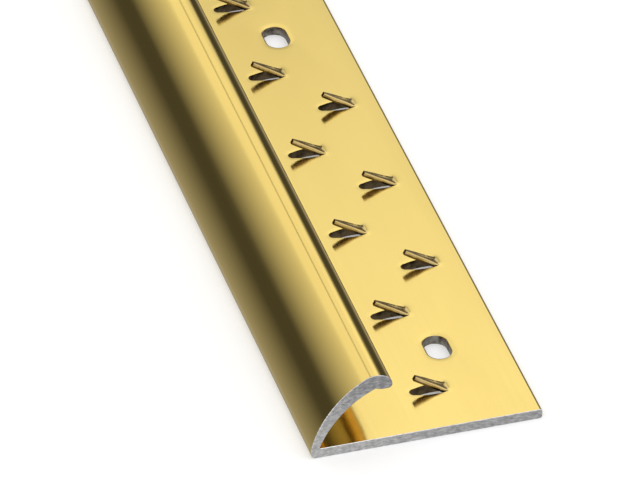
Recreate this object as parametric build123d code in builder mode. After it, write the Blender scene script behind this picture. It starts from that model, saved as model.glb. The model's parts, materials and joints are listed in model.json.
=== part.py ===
from build123d import *
import os
from math import cos, radians, sin

# Tap-down carpet threshold bar, in millimetres.
# +Y runs along the bar, +X from the nosing to the free edge, +Z up from the floor.
# The origin is the middle of the underside.

# Overall sizes
length = 900.0
width = 32.5
height = 12.0

# Base flange
base_thickness = 1.5
toe_radius = 0.8
free_edge_radius = 0.4

# Nosing: one large arc from the root to the shoulder, then a tighter shoulder and a rounded lip
root_thickness = 1.2
web_thickness = 1.75
root_angle = 77.0
shoulder_angle = 30.0
shoulder_radius = 3.1
lip_radius = 1.6
lip_tip_radius = 0.6
lip_underside_width = 0.7
lip_hook = 0.25

# Prong rows and fixing slots: distances from the free edge and from the near end
outer_root_margin = 3.55
row_spacing = 7.35
fixing_margin = 9.4
first_fixing = 17.6
module_pitch = 78.0
prong_pitch = 20.0
prongs_per_module = 4

# Fixing slots, for round-shank screws
fixing_width = 3.4
fixing_length = 5.4

# Prongs: tongues lanced from the base, bent up and leaning towards the nosing
prong_length = 5.2
prong_thickness = 0.7
prong_angle = 30.0
prong_root_width = 2.0
prong_waist_width = 1.2
prong_tip_width = 0.6
prong_bend_radius = 1.2
prong_tip_bevel = 0.35
prong_edge_break = 0.12
prong_clearance = 0.05
lance_bulge = 0.06
lance_nose_width = 1.4

# Values that follow from the sizes above
nosing_edge = -width / 2
free_edge = width / 2
near_end = -length / 2
far_end = length / 2
root = radians(root_angle)
shoulder = radians(shoulder_angle)
shoulder_rise = shoulder_radius * (1 - cos(shoulder))
nosing_radius = (height - base_thickness - shoulder_rise) / (cos(shoulder) - cos(root))


def on_arc(start, radius, heading, new_heading):
    """The point reached from start by an arc that turns right, from one heading to another (radians)."""
    across = radius * (sin(heading) - sin(new_heading))
    up = radius * (cos(new_heading) - cos(heading))
    return start[0] + across, start[1] + up


# Outline of the nosing, from its outer root up and over to the lip, then back along the inside
outer_root = (nosing_edge, base_thickness)
inner_root = (nosing_edge + root_thickness, base_thickness)
web_heading = (root + shoulder) / 2
web_outside = on_arc(outer_root, nosing_radius, root, web_heading)
shoulder_start = on_arc(outer_root, nosing_radius, root, shoulder)
crest = on_arc(shoulder_start, shoulder_radius, shoulder, 0)
lip_start = on_arc(shoulder_start, shoulder_radius, shoulder, -shoulder)
lip_middle = on_arc(lip_start, lip_radius, -shoulder, (-shoulder - radians(90)) / 2)
lip_side = on_arc(lip_start, lip_radius, -shoulder, radians(-90))
lip_corner = on_arc(lip_side, lip_tip_radius, radians(-90), radians(-135))
lip_bottom = on_arc(lip_side, lip_tip_radius, radians(-90), radians(-180))
underside_end = (lip_bottom[0] - lip_underside_width, lip_bottom[1])
hook_notch = (crest[0], lip_bottom[1] + lip_hook)
web_inside = (
    web_outside[0] + web_thickness * sin(web_heading),
    web_outside[1] - web_thickness * cos(web_heading),
)

# Where the press strikes: each module has one fixing slot and a staggered group of prongs after it
prong_setback = (module_pitch - (prongs_per_module - 1) * prong_pitch) / 2
modules = range(-1, int(length // module_pitch) + 1)
strikes = [near_end + first_fixing + module * module_pitch for module in modules]
margin = prong_root_width


def inside(places):
    """The places along the bar that keep a whole feature clear of both sawn ends."""
    return [y for y in places if near_end + margin < y < far_end - margin]


inner_steps = [prong_setback + n * prong_pitch for n in range(prongs_per_module)]
outer_steps = [step + prong_pitch / 2 for step in inner_steps[:-1]]
inner_row = [y + step for y in strikes for step in inner_steps]
outer_row = [y + step for y in strikes for step in outer_steps]
outer_x = free_edge - outer_root_margin
inner_x = outer_x - row_spacing
inner_places = [(inner_x, y) for y in inside(inner_row)]
outer_places = [(outer_x, y) for y in inside(outer_row)]
fixing_places = [(free_edge - fixing_margin, y) for y in inside(strikes)]


# Base flange: the flat plate with its lanced holes and fixing slots
lance_end_width = prong_root_width + 2 * prong_clearance
lance_middle = (-prong_length / 2, lance_end_width / 2 + lance_bulge)
lance_shoulder = (-prong_length + lance_nose_width / 2, lance_nose_width / 2)

with BuildPart() as base_flange:
    with BuildSketch(Plane.XZ):
        with Locations((0, base_thickness / 2)):
            Rectangle(width, base_thickness)
    extrude(amount=length / 2, both=True)
    long_edges = base_flange.edges().filter_by(Axis.Y)
    fillet(long_edges.group_by(Axis.Z)[0].sort_by(Axis.X)[0], radius=toe_radius)
    free_edges = base_flange.edges().filter_by(Axis.Y).group_by(Axis.X)[-1]
    fillet(free_edges, radius=free_edge_radius)
    with BuildSketch():
        with Locations(*fixing_places):
            SlotOverall(fixing_length, fixing_width, rotation=90)
    extrude(amount=base_thickness, mode=Mode.SUBTRACT)
    with BuildSketch() as lanced_holes:
        with BuildSketch(mode=Mode.PRIVATE) as lanced_hole:
            with BuildLine():
                side = ThreePointArc((0, lance_end_width / 2), lance_middle, lance_shoulder)
                ThreePointArc(side @ 1, (-prong_length, 0), (lance_shoulder[0], -lance_shoulder[1]))
                mirror(side, about=Plane.XZ)
                Line((0, -lance_end_width / 2), (0, lance_end_width / 2))
            make_face()
        with Locations(*inner_places, *outer_places):
            add(lanced_hole.sketch)
    extrude(amount=base_thickness, mode=Mode.SUBTRACT)
base_flange.part.label = "base_flange"

# Nosing: the curved cover, which turns about its inner root line when it is tapped down.
# It is parted square across the curve, at the middle of the web and at the shoulder,
# into the lower web, the upper web and the overhanging lip.
web_plane = Plane(
    origin=(web_outside[0], 0, web_outside[1]),
    z_dir=(cos(web_heading), 0, sin(web_heading)),
)
shoulder_plane = Plane(
    origin=(shoulder_start[0], 0, shoulder_start[1]),
    z_dir=(cos(shoulder), 0, sin(shoulder)),
)

with BuildPart() as cover:
    with BuildSketch(Plane.XZ):
        with BuildLine():
            ThreePointArc(outer_root, web_outside, shoulder_start)
            ThreePointArc(shoulder_start, crest, lip_start)
            ThreePointArc(lip_start, lip_middle, lip_side)
            ThreePointArc(lip_side, lip_corner, lip_bottom)
            Line(lip_bottom, underside_end)
            TangentArc(underside_end, hook_notch, tangent=(-1, 0))
            ThreePointArc(hook_notch, web_inside, inner_root)
            Line(inner_root, outer_root)
        make_face()
    extrude(amount=length / 2, both=True)

with BuildPart() as nosing_lower_web:
    add(cover.part)
    split(bisect_by=web_plane, keep=Keep.BOTTOM)
nosing_lower_web.part.label = "nosing_lower_web"

with BuildPart() as nosing_upper_web:
    add(cover.part)
    split(bisect_by=web_plane, keep=Keep.TOP)
    split(bisect_by=shoulder_plane, keep=Keep.BOTTOM)
nosing_upper_web.part.label = "nosing_upper_web"

with BuildPart() as nosing_lip:
    add(cover.part)
    split(bisect_by=shoulder_plane, keep=Keep.TOP)
nosing_lip.part.label = "nosing_lip"

# One prong, with its root face at the origin: side view, then trimmed to its tapered plan
bend = radians(prong_angle)
shank = prong_length - prong_bend_radius * bend
underside_radius = prong_bend_radius + prong_thickness
bend_centre = base_thickness + prong_bend_radius
top_bend = (-prong_bend_radius * sin(bend), bend_centre - prong_bend_radius * cos(bend))
top_mid_bend = (-prong_bend_radius * sin(bend / 2), bend_centre - prong_bend_radius * cos(bend / 2))
low_bend = (-underside_radius * sin(bend), bend_centre - underside_radius * cos(bend))
low_mid_bend = (-underside_radius * sin(bend / 2), bend_centre - underside_radius * cos(bend / 2))
top_tip = (top_bend[0] - shank * cos(bend), top_bend[1] + shank * sin(bend))
low_shank = shank - prong_tip_bevel
low_tip = (low_bend[0] - low_shank * cos(bend), low_bend[1] + low_shank * sin(bend))

with BuildPart() as prong:
    with BuildSketch(Plane.XZ):
        with BuildLine():
            Line((0, base_thickness - prong_thickness), (0, base_thickness))
            ThreePointArc((0, base_thickness), top_mid_bend, top_bend)
            Line(top_bend, top_tip)
            Line(top_tip, low_tip)
            Line(low_tip, low_bend)
            ThreePointArc(low_bend, low_mid_bend, (0, base_thickness - prong_thickness))
        make_face()
    extrude(amount=prong_root_width / 2, both=True)
    with BuildSketch():
        with BuildLine():
            flank = Spline(
                (0, prong_root_width / 2),
                (low_tip[0] / 2, prong_waist_width / 2),
                (low_tip[0], prong_tip_width / 2),
            )
            mirror(flank, about=Plane.XZ)
            Line((0, -prong_root_width / 2), (0, prong_root_width / 2))
            Line((low_tip[0], -prong_tip_width / 2), (low_tip[0], prong_tip_width / 2))
        make_face()
    extrude(amount=height, mode=Mode.INTERSECT)
    shank_top = prong.faces().filter_by(GeomType.PLANE).sort_by(lambda face: face.normal_at().Z)[-1]
    long_edges = shank_top.edges().filter_by(lambda edge: edge.length > prong_length / 2)
    chamfer(long_edges, length=prong_edge_break)

with BuildPart() as inner_prongs:
    with Locations(*inner_places):
        add(prong.part)
inner_prongs.part.label = "inner_prongs"

with BuildPart() as outer_prongs:
    with Locations(*outer_places):
        add(prong.part)
outer_prongs.part.label = "outer_prongs"

os.makedirs("parts", exist_ok=True)
export_step(base_flange.part, "parts/base_flange.step")
export_step(nosing_lower_web.part, "parts/nosing_lower_web.step")
export_step(nosing_upper_web.part, "parts/nosing_upper_web.step")
export_step(nosing_lip.part, "parts/nosing_lip.step")
export_step(inner_prongs.part, "parts/inner_prongs.step")
export_step(outer_prongs.part, "parts/outer_prongs.step")
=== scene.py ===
"""Looks of a gold-anodised tap-down carpet threshold bar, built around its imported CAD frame.

+Y runs along the bar, +X from the nosing to the free edge, +Z up from the floor. Lengths are in metres.
"""

import json
import math
import random

import bmesh
import bpy
import numpy as np
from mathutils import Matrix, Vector
from mathutils.geometry import delaunay_2d_cdt


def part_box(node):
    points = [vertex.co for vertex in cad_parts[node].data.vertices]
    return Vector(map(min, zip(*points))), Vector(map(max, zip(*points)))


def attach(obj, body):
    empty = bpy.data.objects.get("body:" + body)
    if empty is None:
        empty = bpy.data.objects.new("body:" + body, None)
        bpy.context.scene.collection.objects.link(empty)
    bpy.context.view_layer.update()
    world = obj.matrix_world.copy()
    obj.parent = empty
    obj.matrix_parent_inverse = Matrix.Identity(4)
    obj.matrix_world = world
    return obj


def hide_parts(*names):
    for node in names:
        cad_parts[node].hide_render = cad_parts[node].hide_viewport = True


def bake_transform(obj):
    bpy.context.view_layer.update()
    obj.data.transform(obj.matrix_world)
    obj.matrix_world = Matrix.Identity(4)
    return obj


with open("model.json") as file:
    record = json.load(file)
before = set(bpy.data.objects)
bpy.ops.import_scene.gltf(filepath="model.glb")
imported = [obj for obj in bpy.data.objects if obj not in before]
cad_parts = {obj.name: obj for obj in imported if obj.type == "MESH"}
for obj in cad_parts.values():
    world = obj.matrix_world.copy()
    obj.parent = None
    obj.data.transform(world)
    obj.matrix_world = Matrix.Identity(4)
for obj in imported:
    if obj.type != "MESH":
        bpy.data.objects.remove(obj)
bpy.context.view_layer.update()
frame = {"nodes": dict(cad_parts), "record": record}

MM = 0.001
rng = random.Random(24)

# ---------------------------------------------------------------- sizes and places from the frame

base_low, base_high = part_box("base_flange")
NOSING_EDGE = base_low.x
FREE_EDGE = base_high.x
NEAR_END = base_low.y
FAR_END = base_high.y
BASE_TOP = base_high.z
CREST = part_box("nosing_lip")[1].z


def slot_places():
    """Centres of the fixing slots: each bolt pattern of the record holds a pair of them."""
    places = []
    for mount in frame["record"]["mounts"]:
        if mount["kind"] != "bolt_pattern":
            continue
        half = mount["dims"]["spacing_y_mm"] * MM / 2
        x, y = mount["pos_m"][:2]
        places += [(x, y - half), (x, y + half)]
    return places


def prong_places(node, gap=5 * MM):
    """Root points of one row of prongs: the CAD node's points fall into one clump for each prong."""
    points = sorted(vertex.co.y for vertex in frame["nodes"][node].data.vertices)
    root_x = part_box(node)[1].x
    clumps = [[points[0]]]
    for y in points[1:]:
        if y - clumps[-1][-1] > gap:
            clumps.append([])
        clumps[-1].append(y)
    return [(root_x, (clump[0] + clump[-1]) / 2) for clump in clumps]


SLOTS = slot_places()
INNER_ROW = prong_places("inner_prongs")
OUTER_ROW = prong_places("outer_prongs")
bolt_dims = frame["record"]["mounts"][0]["dims"]
SLOT_WIDTH = 2 * bolt_dims["hole_r_mm"] * MM
SLOT_LENGTH = bolt_dims["slot_length_mm"] * MM

# ---------------------------------------------------------------- materials


def new_material(name):
    material = bpy.data.materials.new(name)
    material.use_nodes = True
    nodes = material.node_tree.nodes
    return material, nodes, material.node_tree.links, nodes["Principled BSDF"]


def stretched_noise(nodes, links, scale, detail, stretch):
    """Noise in the frame's own coordinates, finer or coarser along each axis."""
    place = nodes.new("ShaderNodeTexCoord")
    mapping = nodes.new("ShaderNodeMapping")
    mapping.inputs["Scale"].default_value = stretch
    noise = nodes.new("ShaderNodeTexNoise")
    noise.inputs["Scale"].default_value = scale
    noise.inputs["Detail"].default_value = detail
    links.new(place.outputs["Object"], mapping.inputs["Vector"])
    links.new(mapping.outputs["Vector"], noise.inputs["Vector"])
    return noise.outputs["Fac"]


def ramp(nodes, links, source, stops):
    """A colour ramp over source. stops are (position, colour)."""
    node = nodes.new("ShaderNodeValToRGB")
    elements = node.color_ramp.elements
    while len(elements) < len(stops):
        elements.new(0.5)
    for element, (position, colour) in zip(elements, stops):
        element.position = position
        element.color = (*colour, 1)
    links.new(source, node.inputs["Fac"])
    return node.outputs["Color"]


def spread(nodes, links, source, low, high, out_low, out_high):
    """source, from low to high, mapped to out_low to out_high."""
    node = nodes.new("ShaderNodeMapRange")
    node.inputs["From Min"].default_value = low
    node.inputs["From Max"].default_value = high
    node.inputs["To Min"].default_value = out_low
    node.inputs["To Max"].default_value = out_high
    links.new(source, node.inputs["Value"])
    return node.outputs["Result"]


def bump(nodes, links, shader, height, distance, strength=1.0, below=None):
    node = nodes.new("ShaderNodeBump")
    node.inputs["Strength"].default_value = strength
    node.inputs["Distance"].default_value = distance
    links.new(height, node.inputs["Height"])
    if below is not None:
        links.new(below, node.inputs["Normal"])
    links.new(node.outputs["Normal"], shader.inputs["Normal"])
    return node.outputs["Normal"]


def gold_anodised(name, light, dark, roughness):
    """Polished, dyed and sealed aluminium: lengthwise die lines, a cloudy dye and a clear oxide skin."""
    material, nodes, links, shader = new_material(name)
    die_lines = stretched_noise(nodes, links, 2200, 3, (1, 0.012, 1))
    cloud = stretched_noise(nodes, links, 60, 4, (1, 0.35, 1))
    colour = ramp(nodes, links, cloud, [(0.3, dark), (0.7, light)])
    links.new(colour, shader.inputs["Base Color"])
    links.new(
        spread(nodes, links, die_lines, 0.3, 0.7, roughness * 0.8, roughness * 1.25),
        shader.inputs["Roughness"],
    )
    bump(nodes, links, shader, die_lines, 0.0012 * MM)
    shader.inputs["Metallic"].default_value = 1
    shader.inputs["Coat Weight"].default_value = 0.08
    shader.inputs["Coat Roughness"].default_value = 0.12
    return material


def sawn_aluminium():
    """Bare metal left by a round saw: arcs of tooth marks across the section, with painted shade making it
    darker towards the lip and towards +X.
    """
    material, nodes, links, shader = new_material("sawn_aluminium")
    place = nodes.new("ShaderNodeTexCoord")
    about_blade = nodes.new("ShaderNodeMapping")
    about_blade.inputs["Location"].default_value = (4 * MM, 0, 45 * MM)
    links.new(place.outputs["Object"], about_blade.inputs["Vector"])
    marks = nodes.new("ShaderNodeTexWave")
    marks.wave_type = "RINGS"
    marks.rings_direction = "Y"
    marks.inputs["Scale"].default_value = 620
    marks.inputs["Distortion"].default_value = 9
    marks.inputs["Detail"].default_value = 3
    marks.inputs["Detail Scale"].default_value = 1.4
    links.new(about_blade.outputs["Vector"], marks.inputs["Vector"])
    grain = stretched_noise(nodes, links, 1500, 5, (1, 1, 1))
    parts = nodes.new("ShaderNodeSeparateXYZ")
    links.new(place.outputs["Object"], parts.inputs[0])
    # Painted shade: the colour is pulled darker towards the top of the face and towards +X.
    up = spread(nodes, links, parts.outputs["Z"], 4 * MM, 11 * MM, 0.0, 0.34)
    across = spread(nodes, links, parts.outputs["X"], -12 * MM, 4 * MM, 0.0, 0.22)
    grain_and_painted_shade = grain
    for shade in (up, across):
        node = nodes.new("ShaderNodeMath")
        node.operation = "SUBTRACT"
        links.new(grain_and_painted_shade, node.inputs[0])
        links.new(shade, node.inputs[1])
        grain_and_painted_shade = node.outputs[0]
    streaked = nodes.new("ShaderNodeMath")
    streaked.operation = "MULTIPLY_ADD"
    streaked.inputs[1].default_value = 0.16
    links.new(marks.outputs["Fac"], streaked.inputs[0])
    links.new(grain_and_painted_shade, streaked.inputs[2])
    colour = ramp(
        nodes,
        links,
        streaked.outputs[0],
        [(0.1, (0.46, 0.455, 0.47)), (0.42, (0.72, 0.71, 0.71)), (0.72, (0.95, 0.945, 0.93))],
    )
    links.new(colour, shader.inputs["Base Color"])
    links.new(
        spread(nodes, links, grain, 0.3, 0.7, 0.34, 0.55), shader.inputs["Roughness"]
    )
    fine = bump(nodes, links, shader, grain, 0.012 * MM)
    bump(nodes, links, shader, marks.outputs["Fac"], 0.02 * MM, 1.0, fine)
    shader.inputs["Metallic"].default_value = 1
    return material


def sheared_aluminium(name, dark, light):
    """The torn walls of the punched holes and prong flanks: streaked along the punch's stroke."""
    material, nodes, links, shader = new_material(name)
    streaks = stretched_noise(nodes, links, 3000, 3, (1, 1, 0.15))
    smear = stretched_noise(nodes, links, 900, 4, (1, 1, 1))
    colour = ramp(nodes, links, smear, [(0.36, dark), (0.64, light)])
    links.new(colour, shader.inputs["Base Color"])
    links.new(
        spread(nodes, links, smear, 0.3, 0.7, 0.22, 0.5), shader.inputs["Roughness"]
    )
    bump(nodes, links, shader, streaks, 0.03 * MM)
    shader.inputs["Metallic"].default_value = 1
    return material


GOLD_BASE = gold_anodised("gold_base", (0.80, 0.61, 0.19), (0.76, 0.57, 0.17), 0.13)
GOLD_NOSING = gold_anodised("gold_nosing", (0.80, 0.60, 0.18), (0.76, 0.56, 0.16), 0.12)
GOLD_PRONG = gold_anodised("gold_prong", (0.7, 0.52, 0.22), (0.5, 0.37, 0.15), 0.24)
SAWN = sawn_aluminium()
# Sheared bare metal for the fixing slots' walls, its colour darkened further as painted shade inside the
# holes.
PUNCHED_PAINTED_SHADE = sheared_aluminium("punched_metal_painted_shade", (0.12, 0.1, 0.07), (0.5, 0.46, 0.4))
# Painted shade: a near-black copy of the sheared metal for the lanced holes' walls and the prongs' far
# flanks, undersides and cut ends.
LANCE_PAINTED_SHADE = sheared_aluminium("lance_painted_shade", (0.05, 0.035, 0.015), (0.22, 0.16, 0.09))
FLANK = sheared_aluminium("prong_flank", (0.3, 0.24, 0.14), (0.74, 0.66, 0.5))

# ---------------------------------------------------------------- mesh helpers


class Shell:
    """Collects points and faces of one piece, with a material for each face."""

    def __init__(self, name, *materials):
        self.name = name
        self.materials = materials
        self.mesh = bmesh.new()

    def points(self, coordinates):
        return [self.mesh.verts.new(point) for point in coordinates]

    def face(self, corners, material=0):
        if len(set(corners)) < 3:
            return
        face = self.mesh.faces.new(corners)
        face.material_index = material
        face.smooth = True

    def strip(self, one, other, material=0, closed=True):
        """Quads between two rows of points."""
        count = len(one)
        for n in range(count if closed else count - 1):
            m = (n + 1) % count
            self.face([one[n], one[m], other[m], other[n]], material)

    def finish(self, crease=32):
        bmesh.ops.remove_doubles(self.mesh, verts=self.mesh.verts, dist=0.0004 * MM)
        bmesh.ops.recalc_face_normals(self.mesh, faces=self.mesh.faces)
        data = bpy.data.meshes.new(self.name)
        self.mesh.to_mesh(data)
        self.mesh.free()
        for material in self.materials:
            data.materials.append(material)
        data.set_sharp_from_angle(angle=math.radians(crease))
        piece = bpy.data.objects.new(self.name, data)
        bpy.context.scene.collection.objects.link(piece)
        return piece


def arc(centre, radius, start, end, steps):
    """Points of an arc, angles in degrees from the first axis."""
    angles = np.radians(np.linspace(start, end, steps + 1))
    return [(centre[0] + radius * math.cos(a), centre[1] + radius * math.sin(a)) for a in angles]


def right_turn(start, radius, heading, new_heading, steps):
    """Points of an arc that leaves start at one heading and turns right to another, in degrees."""
    centre = (
        start[0] + radius * math.sin(math.radians(heading)),
        start[1] - radius * math.cos(math.radians(heading)),
    )
    return arc(centre, radius, heading + 90, new_heading + 90, steps)


def outward(outline):
    """Unit normals of a closed anticlockwise outline, pointing out of it."""
    points = np.array(outline)
    along = np.roll(points, -1, 0) - np.roll(points, 1, 0)
    along /= np.linalg.norm(along, axis=1)[:, None]
    return np.stack([along[:, 1], -along[:, 0]], 1)


# ---------------------------------------------------------------- the sawn bar: shared section values

TOE_RADIUS = 0.8 * MM
ROOT_THICKNESS = 1.2 * MM
WEB_THICKNESS = 1.75 * MM
ROOT_ANGLE = 77
SHOULDER_ANGLE = 30
SHOULDER_RADIUS = 3.1 * MM
LIP_RADIUS = 1.6 * MM
LIP_TIP_RADIUS = 0.6 * MM
LIP_UNDERSIDE = 0.7 * MM
LIP_HOOK = 0.25 * MM
FREE_EDGE_RADIUS = 0.4 * MM
EDGE_BREAK = 0.07 * MM
JOIN_X = NOSING_EDGE + ROOT_THICKNESS


def nosing_radius():
    root, shoulder = math.radians(ROOT_ANGLE), math.radians(SHOULDER_ANGLE)
    rise = SHOULDER_RADIUS * (1 - math.cos(shoulder))
    return (CREST - BASE_TOP - rise) / (math.cos(shoulder) - math.cos(root))


def circle_through(a, b, c):
    """Centre and radius of the circle through three points."""
    (ax, az), (bx, bz), (cx, cz) = a, b, c
    matrix = np.array([[bx - ax, bz - az], [cx - ax, cz - az]])
    sizes = np.array([bx**2 - ax**2 + bz**2 - az**2, cx**2 - ax**2 + cz**2 - az**2]) / 2
    centre = np.linalg.solve(matrix, sizes)
    return centre, math.hypot(ax - centre[0], az - centre[1])


def nosing_outline():
    """Section of the nosing and its toe, clockwise from the inner root over the underside and the top."""
    radius = nosing_radius()
    outer_root = (NOSING_EDGE, BASE_TOP)
    toe = arc((NOSING_EDGE + TOE_RADIUS, TOE_RADIUS), TOE_RADIUS, -90, -180, 8)
    web = right_turn(outer_root, radius, ROOT_ANGLE, SHOULDER_ANGLE, 44)
    crown = right_turn(web[-1], SHOULDER_RADIUS, SHOULDER_ANGLE, -SHOULDER_ANGLE, 22)
    lip = right_turn(crown[-1], LIP_RADIUS, -SHOULDER_ANGLE, -90, 12)
    tip = right_turn(lip[-1], LIP_TIP_RADIUS, -90, -180, 8)
    lip_end = (tip[-1][0] - LIP_UNDERSIDE, tip[-1][1])
    crest_x = crown[len(crown) // 2][0]
    notch = (crest_x, tip[-1][1] + LIP_HOOK)
    middle = (ROOT_ANGLE + SHOULDER_ANGLE) / 2
    web_outside = right_turn(outer_root, radius, ROOT_ANGLE, middle, 1)[-1]
    web_inside = (
        web_outside[0] + WEB_THICKNESS * math.sin(math.radians(middle)),
        web_outside[1] - WEB_THICKNESS * math.cos(math.radians(middle)),
    )
    inner_root = (JOIN_X, BASE_TOP)
    centre, inner_radius = circle_through(notch, web_inside, inner_root)
    start = math.degrees(math.atan2(notch[1] - centre[1], notch[0] - centre[0]))
    end = math.degrees(math.atan2(inner_root[1] - centre[1], inner_root[0] - centre[0]))
    inside = arc(centre, inner_radius, start, end % 360, 44)
    hook = [
        (lip_end[0] + (notch[0] - lip_end[0]) * t, lip_end[1] + LIP_HOOK * t * t)
        for t in (0.33, 0.66)
    ]
    over = [*web, *crown[1:], *lip[1:], *tip[1:], lip_end]
    return [(JOIN_X, 0), *toe, *over, *hook, *inside[:-1], inner_root]


def base_outline():
    """Section of the flat base, anticlockwise from its lower corner at the root."""
    under = arc((FREE_EDGE - FREE_EDGE_RADIUS, FREE_EDGE_RADIUS), FREE_EDGE_RADIUS, -90, 0, 8)
    over = arc((FREE_EDGE - FREE_EDGE_RADIUS, BASE_TOP - FREE_EDGE_RADIUS), FREE_EDGE_RADIUS, 0, 90, 8)
    return [(JOIN_X, 0), *under, *over, (JOIN_X, BASE_TOP)]


# The inner root is one hollow corner, shared by both pieces where the saw's edge break crosses it.
ROOT_BREAK = (JOIN_X - 0.4 * EDGE_BREAK, BASE_TOP - EDGE_BREAK)
SOLE_BREAK = (JOIN_X, EDGE_BREAK)


def broken_end(shell, inset, body_ends, material):
    """Closes both sawn ends: a narrow broken edge, then the flat sawn face."""
    for ring, y in zip(body_ends, (NEAR_END, FAR_END)):
        face_ring = shell.points([(x, y, z) for x, z in inset])
        for n, corner in enumerate(ring):
            m = (n + 1) % len(ring)
            shell.face([corner, ring[m], face_ring[m], face_ring[n]], material)
        shell.face(face_ring, material)


def inset_outline(outline, anticlockwise):
    normals = outward(outline) * (1 if anticlockwise else -1)
    inset = np.array(outline) - normals * EDGE_BREAK
    for n, point in enumerate(outline):
        if abs(point[0] - JOIN_X) < 1e-9:
            inset[n] = SOLE_BREAK if point[1] < BASE_TOP / 2 else ROOT_BREAK
    return [tuple(point) for point in inset]


def nosing_cover():
    shell = Shell("nosing_cover", GOLD_NOSING, SAWN)
    outline = nosing_outline()
    inset = inset_outline(outline, False)
    stations = np.linspace(NEAR_END + EDGE_BREAK, FAR_END - EDGE_BREAK, 31)
    rings = [shell.points([(x, y, z) for x, z in outline]) for y in stations]
    for near, far in zip(rings, rings[1:]):
        shell.strip(near, far)
    broken_end(shell, inset, (rings[0], rings[-1]), 1)
    return shell.finish()


# ---------------------------------------------------------------- the base, its slots and lanced holes

LANCE_LENGTH = 5.2 * MM
ROOT_WIDTH = 2.1 * MM
LANCE_BULGE = 0.06 * MM
LANCE_NOSE = 1.4 * MM
LIFT = 0.1 * MM
LIFT_REACH = 1.1 * MM
ROLL = 0.05 * MM
ROLL_REACH = 0.55 * MM
SLOT_RIM = 0.16 * MM
CUT_RIM = 0.05 * MM
ROOT_RIM = 0.004 * MM


def slot_outline():
    """A fixing slot about its centre, anticlockwise."""
    radius = SLOT_WIDTH / 2
    half = SLOT_LENGTH / 2 - radius
    return [*arc((0, half), radius, 0, 180, 16), *arc((0, -half), radius, 180, 360, 16)]


def lance_outline():
    """The hole that a prong leaves, about the middle of the prong's root, anticlockwise."""
    start = (0, ROOT_WIDTH / 2)
    middle = (-LANCE_LENGTH / 2, ROOT_WIDTH / 2 + LANCE_BULGE)
    end = (-LANCE_LENGTH + LANCE_NOSE / 2, LANCE_NOSE / 2)
    centre, radius = circle_through(start, middle, end)
    angles = [math.degrees(math.atan2(p[1] - centre[1], p[0] - centre[0])) for p in (start, end)]
    far_side = arc(centre, radius, *angles, 10)
    nose = arc((end[0], 0), LANCE_NOSE / 2, 90, 270, 10)
    near_side = [(x, -y) for x, y in reversed(far_side)]
    root_line = [(0, y) for y in np.linspace(-ROOT_WIDTH / 2, ROOT_WIDTH / 2, 7)[1:-1]]
    return [*far_side, *nose[1:-1], *near_side, *root_line]


def fade(t):
    """1 at 0, falling smoothly to 0 at 1."""
    t = min(max(t, 0), 1)
    return 1 - t * t * (3 - 2 * t)


def lift(x, y):
    """Height of the sheet that is dragged up beside a prong's root."""
    if x < -0.2 * MM:
        return 0
    along = max(0, 1 - max(x, 0) / LIFT_REACH) ** 2
    return LIFT * along * fade((abs(y) - 0.6 * MM) / (0.9 * MM))


def lance_height(x, y, distance):
    """Height of the sheet around a lanced hole: rolled down along the cut, dragged up at the root."""
    rolled = -ROLL * 0.5 * fade(distance / ROLL_REACH) * fade((x + 0.9 * MM) / (0.9 * MM))
    return rolled + lift(x, y)


def slot_height(x, y, distance):
    """The sheet dips a little all round a fixing slot, wherever (x, y) is on its rim."""
    return -ROLL * fade(distance / (1.6 * ROLL_REACH))


def lance_rim(x, y):
    """The broken edge's radius, nothing where the prong grows out of the sheet."""
    return CUT_RIM if x < -CUT_RIM else ROOT_RIM


def slot_rim(x, y):
    """The fixing slot's broken edge has the same radius all round."""
    return SLOT_RIM


def hole(shell, place, outline, rim, height, collars, wall):
    """One hole's wall, rounded rim and the sheet around it. Returns its outermost ring and lowest ring."""
    normals = outward(outline)
    px, py = place
    rings = [[(px + x, py + y, 0) for x, y in outline]]
    for angle in (0, 30, 60, 90):
        ring = []
        for (x, y), (nx, ny) in zip(outline, normals):
            radius = rim(x, y)
            out = radius * (1 - math.cos(math.radians(angle)))
            drop = radius * (1 - math.sin(math.radians(angle)))
            ring.append((px + x + nx * out, py + y + ny * out, BASE_TOP - drop + height(x, y, 0)))
        rings.append(ring)
    for distance in collars:
        ring = []
        for (x, y), (nx, ny) in zip(outline, normals):
            sx, sy = x + nx * distance, y + ny * distance
            ring.append((px + sx, py + sy, BASE_TOP + height(sx, sy, distance)))
        rings.append(ring)
    rows = [shell.points(ring) for ring in rings]
    for n, (lower, upper) in enumerate(zip(rows, rows[1:])):
        shell.strip(lower, upper, wall if n < 2 else 0)
    return rows[-1], rows[0]


def within(point, ring):
    """True for a point inside a ring: a line from it towards +X crosses the ring an odd number of times."""
    x, y = point
    crossings = 0
    for (ax, ay), (bx, by) in zip(ring, ring[1:] + ring[:1]):
        if (ay > y) != (by > y) and x < ax + (bx - ax) * (y - ay) / (by - ay):
            crossings += 1
    return crossings % 2 == 1


def fill_around(shell, corners, holes):
    """A flat face between four corners and the rings of the holes."""
    loops = [corners, *holes]
    points = [Vector((v.co.x / MM, v.co.y / MM)) for loop in loops for v in loop]
    owners = [v for loop in loops for v in loop]
    faces, first = [], 0
    for loop in loops:
        faces.append(list(range(first, first + len(loop))))
        first += len(loop)
    edges = [(f[n], f[(n + 1) % len(f)]) for f in faces for n in range(len(f))]
    places, _, triangles, sources, _, _ = delaunay_2d_cdt(points, edges, [], 1, 1e-5)
    found = [owners[source[0]] for source in sources]
    owner_loop = {}
    for index, loop in enumerate(loops):
        for vertex in loop:
            owner_loop[vertex] = index
    for triangle in triangles:
        corners_here = [found[n] for n in triangle]
        rings = {owner_loop[v] for v in corners_here}
        if len(rings) == 1 and rings != {0}:
            centre = sum((v.co for v in corners_here), Vector()) / 3
            ring = [(v.co.x, v.co.y) for v in loops[rings.pop()]]
            if within((centre.x, centre.y), ring):
                continue
        shell.face(corners_here)


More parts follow.
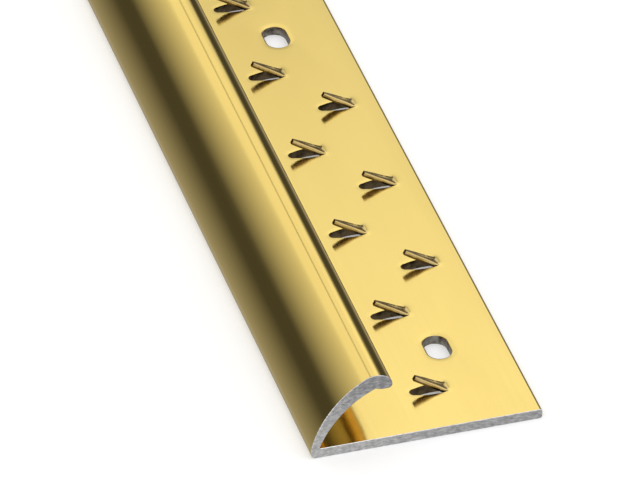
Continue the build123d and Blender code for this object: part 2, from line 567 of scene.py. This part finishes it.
def base_plate():
    shell = Shell("base_plate", GOLD_BASE, PUNCHED_PAINTED_SHADE, SAWN, LANCE_PAINTED_SHADE)
    outline = base_outline()
    inset = inset_outline(outline, True)
    ends = (NEAR_END + EDGE_BREAK, FAR_END - EDGE_BREAK)
    near, far = [shell.points([(x, y, z) for x, z in outline]) for y in ends]
    last = len(outline) - 1
    for n in range(len(outline)):
        m = (n + 1) % len(outline)
        if n in (0, last - 1):  # the underside and the top are filled around the holes
            continue
        shell.face([near[n], near[m], far[m], far[n]])
    broken_end(shell, inset, (near, far), 2)
    slot_shape, lance_shape = slot_outline(), lance_outline()
    slot_collars = [SLOT_RIM + step * MM for step in (0.12, 0.3, 0.5, 0.75)]
    lance_collars = [step * MM for step in (0.12, 0.28, 0.5, 0.8, 1.15)]
    tops, soles = [], []
    # Fixing slots' walls take the punched metal that is darkened as painted shade.
    for place in SLOTS:
        top, sole = hole(shell, place, slot_shape, slot_rim, slot_height, slot_collars, 1)
        tops.append(top)
        soles.append(sole)
    # Lanced holes' walls take the near-black painted-shade material.
    for place in (*INNER_ROW, *OUTER_ROW):
        top, sole = hole(shell, place, lance_shape, lance_rim, lance_height, lance_collars, 3)
        tops.append(top)
        soles.append(sole)
    fill_around(shell, [near[last], near[last - 1], far[last - 1], far[last]], tops)
    fill_around(shell, [near[0], near[1], far[1], far[0]], soles)
    return shell.finish()


# ---------------------------------------------------------------- the prongs

PRONG_LENGTH = 5.2 * MM
PRONG_THICKNESS = 0.7 * MM
PRONG_ANGLE = 30
PRONG_BEND = 1.2 * MM
PRONG_ROOT = 2.0 * MM
PRONG_WAIST = 1.2 * MM
PRONG_TIP = 0.6 * MM
PRONG_EDGE = 0.2 * MM
GROOVE = 0.16 * MM
WAIST_SHARE = 0.55
LIFT_SLOPE = math.degrees(math.atan(2 * LIFT / LIFT_REACH))


def prong_section(width, thickness, groove, edge):
    """Section across a prong, from its near lower corner round over the top: (across, up, material)."""
    half = width / 2
    edge = min(edge, 0.45 * half)
    near_edge = [(x, z, 0) for x, z in arc((-half + edge, -edge), edge, 180, 90, 4)]
    flat = half - edge
    bed = [(u * flat, -groove * (1 - u * u), 0) for u in (-0.7, -0.4, 0, 0.4, 0.7)]
    far_edge = [(x, z, 0) for x, z in arc((half - edge * 0.5, -edge * 0.5), edge * 0.5, 90, 0, 2)]
    # Material 2, on the far flank and the underside, is the near-black painted shade; material 1 is the
    # plain sheared metal on the near flank.
    under = 0.86 * half
    lower = [
        (half, -thickness * 0.55, 2),
        (under, -thickness, 2),
        (-under, -thickness, 2),
        (-half, -thickness * 0.55, 1),
    ]
    return [*near_edge, *bed, *far_edge, *lower]


def prong(shell, place, turn, tip_angle, reach):
    """One lanced tongue: it leaves the sheet, bends up and leans towards the nosing."""
    x, y = place
    height = BASE_TOP
    steps = 18
    length = PRONG_LENGTH * reach
    bend_length = PRONG_BEND * math.radians(tip_angle - LIFT_SLOPE)
    rows, position, travelled = [], (0.0, 0.0), 0.0
    stations = sorted({*np.linspace(0, bend_length, 7), *np.linspace(bend_length, length, steps - 6)})
    angle = LIFT_SLOPE
    for station in stations:
        step = station - travelled
        travelled = station
        new_angle = LIFT_SLOPE + (tip_angle - LIFT_SLOPE) * min(station / bend_length, 1)
        mean = math.radians((angle + new_angle) / 2)
        position = (position[0] - step * math.cos(mean), position[1] + step * math.sin(mean))
        angle = new_angle
        share = station / length
        width = PRONG_ROOT + (PRONG_WAIST - PRONG_ROOT) * math.sin(min(share / WAIST_SHARE, 1) * math.pi / 2)
        if share > WAIST_SHARE:
            beyond = (share - WAIST_SHARE) / (1 - WAIST_SHARE)
            width += (PRONG_TIP - PRONG_WAIST) * beyond**1.3
        groove = GROOVE * fade((share - 0.25) / 0.75) * min(1, 0.1 + share / 0.12)
        tilt = math.radians(angle)
        side = turn * share * length
        row = []
        for across, up, _ in prong_section(width, PRONG_THICKNESS, groove, PRONG_EDGE):
            drop = lift(0, across) * (1 - min(share / 0.2, 1)) + LIFT * min(share / 0.2, 1)
            row.append(
                (
                    x + position[0] + up * math.sin(tilt),
                    y + across + side,
                    height + drop + position[1] + up * math.cos(tilt),
                )
            )
        rows.append(row)
    kinds = [kind for _, _, kind in prong_section(PRONG_ROOT, PRONG_THICKNESS, 0, PRONG_EDGE)]
    loops = [shell.points(row) for row in rows]
    for lower, upper in zip(loops, loops[1:]):
        for n in range(len(lower)):
            m = (n + 1) % len(lower)
            shell.face([lower[n], lower[m], upper[m], upper[n]], max(kinds[n], kinds[m]))
    # The cut ends take the near-black painted shade too.
    shell.face(loops[0], 2)
    shell.face(loops[-1], 2)


def prong_row(name, places):
    shell = Shell(name, GOLD_PRONG, FLANK, LANCE_PAINTED_SHADE)
    for place in places:
        turn = rng.uniform(-0.03, 0.03)
        angle = PRONG_ANGLE + rng.uniform(-1.5, 1.0)
        prong(shell, place, turn, angle, rng.uniform(0.97, 1.0))
    return shell.finish(crease=40)


# ---------------------------------------------------------------- assembly

plate = base_plate()
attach(plate, "base")
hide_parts("base_flange")

cover = nosing_cover()
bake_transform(cover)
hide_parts("nosing_lower_web", "nosing_upper_web", "nosing_lip")

for row_name, node, row_places in (
    ("inner_prong_row", "inner_prongs", INNER_ROW),
    ("outer_prong_row", "outer_prongs", OUTER_ROW),
):
    row = prong_row(row_name, row_places)
    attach(row, "base")
    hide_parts(node)

# ---------------------------------------------------------------- floor, light and camera


def floor():
    data = bpy.data.meshes.new("floor")
    side = 9
    data.from_pydata(
        [(-side, -side, 0), (side, -side, 0), (side, side, 0), (-side, side, 0)], [], [(0, 1, 2, 3)]
    )
    material, nodes, links, shader = new_material("pale_floor")
    speckle = stretched_noise(nodes, links, 9, 5, (1, 1, 1))
    colour = ramp(nodes, links, speckle, [(0.3, (0.7, 0.7, 0.7)), (0.7, (0.73, 0.73, 0.73))])
    links.new(colour, shader.inputs["Base Color"])
    shader.inputs["Roughness"].default_value = 0.9
    shader.inputs["Specular IOR Level"].default_value = 0
    shader.inputs["Emission Color"].default_value = (1, 1, 1, 1)
    shader.inputs["Emission Strength"].default_value = 0.3
    data.materials.append(material)
    surface = bpy.data.objects.new("floor", data)
    surface.visible_glossy = False
    bpy.context.scene.collection.objects.link(surface)


SKY = 1.45


def studio_world():
    """Plain soft surroundings by direction: a light sky, dim low sides and two dark cards."""
    world = bpy.data.worlds.new("studio")
    bpy.context.scene.world = world
    world.use_nodes = True
    nodes, links = world.node_tree.nodes, world.node_tree.links
    nodes.clear()
    place = nodes.new("ShaderNodeTexCoord")
    parts = nodes.new("ShaderNodeSeparateXYZ")
    links.new(place.outputs["Generated"], parts.inputs[0])
    angle = nodes.new("ShaderNodeMath")
    angle.operation = "ARCTAN2"
    links.new(parts.outputs["Z"], angle.inputs[0])
    links.new(parts.outputs["X"], angle.inputs[1])
    share = spread(nodes, links, angle.outputs[0], -math.pi, math.pi, 0, 1)

    def around(stops):
        return ramp(nodes, links, share, [((degrees + 180) / 360, colour) for degrees, colour in stops])

    ahead = around(FAR_CARDS)
    behind = around(NEAR_CARDS)
    turn = spread(nodes, links, parts.outputs["Y"], 0.3, 0.6, 0, 1)
    mix = nodes.new("ShaderNodeMix")
    mix.data_type = "RGBA"
    links.new(turn, mix.inputs[0])
    links.new(behind, mix.inputs[6])
    links.new(ahead, mix.inputs[7])
    seen = nodes.new("ShaderNodeLightPath")
    studio = nodes.new("ShaderNodeBackground")
    studio.inputs["Strength"].default_value = SKY
    links.new(mix.outputs[2], studio.inputs["Color"])
    backdrop = nodes.new("ShaderNodeBackground")
    backdrop.inputs["Color"].default_value = (0.95, 0.95, 0.95, 1)
    choose = nodes.new("ShaderNodeMixShader")
    links.new(seen.outputs["Is Camera Ray"], choose.inputs[0])
    links.new(studio.outputs[0], choose.inputs[1])
    links.new(backdrop.outputs[0], choose.inputs[2])
    output = nodes.new("ShaderNodeOutputWorld")
    links.new(choose.outputs[0], output.inputs["Surface"])


# Neutral cards around the bar: (angle from +X up, in degrees, and grey)
DARK_CARD = (0.05, 0.05, 0.05)
DIM_CARD = (0.3, 0.3, 0.3)
LIGHT_CARD = (0.8, 0.8, 0.8)
FAR_CARDS = [
    (-180, DARK_CARD),
    (-175, DARK_CARD),
    (-135, DIM_CARD),
    (-10, DIM_CARD),
    (15, DARK_CARD),
    (40, DARK_CARD),
    (60, LIGHT_CARD),
    (120, LIGHT_CARD),
    (170, DARK_CARD),
]
NEAR_CARDS = [
    (-180, DIM_CARD),
    (-10, DIM_CARD),
    (20, LIGHT_CARD),
    (140, LIGHT_CARD),
]


NEAR_SILK = (0.95, 0.95, 0.95)
FAR_SILK = (0.5, 0.5, 0.5)
SEAM = (0.4, 0.4, 0.4)


def silk():
    """A wide soft light just above the bar: brighter at its near end, with one dimmer seam along it."""
    data = bpy.data.meshes.new("silk")
    left, right, near, far, height = -0.225, 0.182, -1.2, 1.6, 0.25
    data.from_pydata(
        [(left, near, height), (right, near, height), (right, far, height), (left, far, height)],
        [],
        [(3, 2, 1, 0)],
    )
    material = bpy.data.materials.new("silk")
    material.use_nodes = True
    nodes, links = material.node_tree.nodes, material.node_tree.links
    nodes.clear()
    place = nodes.new("ShaderNodeTexCoord")
    parts = nodes.new("ShaderNodeSeparateXYZ")
    links.new(place.outputs["Object"], parts.inputs[0])
    along = spread(nodes, links, parts.outputs["Y"], -0.15, 0.1, 0, 1)
    fading = ramp(nodes, links, along, [(0, NEAR_SILK), (1, FAR_SILK)])
    across = spread(nodes, links, parts.outputs["X"], left, right, 0, 1)

    def at(x):
        return (x - left) / (right - left)

    seam = [(-0.046, LIGHT_CARD), (-0.036, SEAM), (-0.022, SEAM), (-0.012, LIGHT_CARD)]
    even = ramp(nodes, links, across, [(at(x), grey) for x, grey in seam])
    mix = nodes.new("ShaderNodeMix")
    mix.data_type = "RGBA"
    links.new(spread(nodes, links, parts.outputs["X"], 0.075, 0.095, 0, 1), mix.inputs[0])
    links.new(even, mix.inputs[6])
    links.new(fading, mix.inputs[7])
    glow = nodes.new("ShaderNodeEmission")
    glow.inputs["Strength"].default_value = SKY
    links.new(mix.outputs[2], glow.inputs["Color"])
    output = nodes.new("ShaderNodeOutputMaterial")
    links.new(glow.outputs[0], output.inputs["Surface"])
    data.materials.append(material)
    panel = bpy.data.objects.new("silk", data)
    panel.visible_camera = False
    bpy.context.scene.collection.objects.link(panel)


def camera():
    """The photograph's viewing angle: over the near end, from above and a little to the left."""
    yaw, elevation = math.radians(16.549), math.radians(35.728)
    distance, aside, above = 1.1284, -1.229 * MM, -27.873 * MM
    forward = Vector(
        (
            math.sin(yaw) * math.cos(elevation),
            math.cos(yaw) * math.cos(elevation),
            -math.sin(elevation),
        )
    )
    right = forward.cross(Vector((0, 0, 1))).normalized()
    up = right.cross(forward)
    corner = Vector((NOSING_EDGE + 0.1 * MM, NEAR_END, 0))
    data = bpy.data.cameras.new("camera")
    data.sensor_width = 36
    data.lens = 472.85
    view = bpy.data.objects.new("camera", data)
    view.location = corner - right * aside - up * above - forward * distance
    view.rotation_euler = forward.to_track_quat("-Z", "Y").to_euler()
    bpy.context.scene.collection.objects.link(view)
    bpy.context.scene.camera = view


floor()
studio_world()
silk()
camera()
bpy.context.scene.view_settings.view_transform = "Standard"
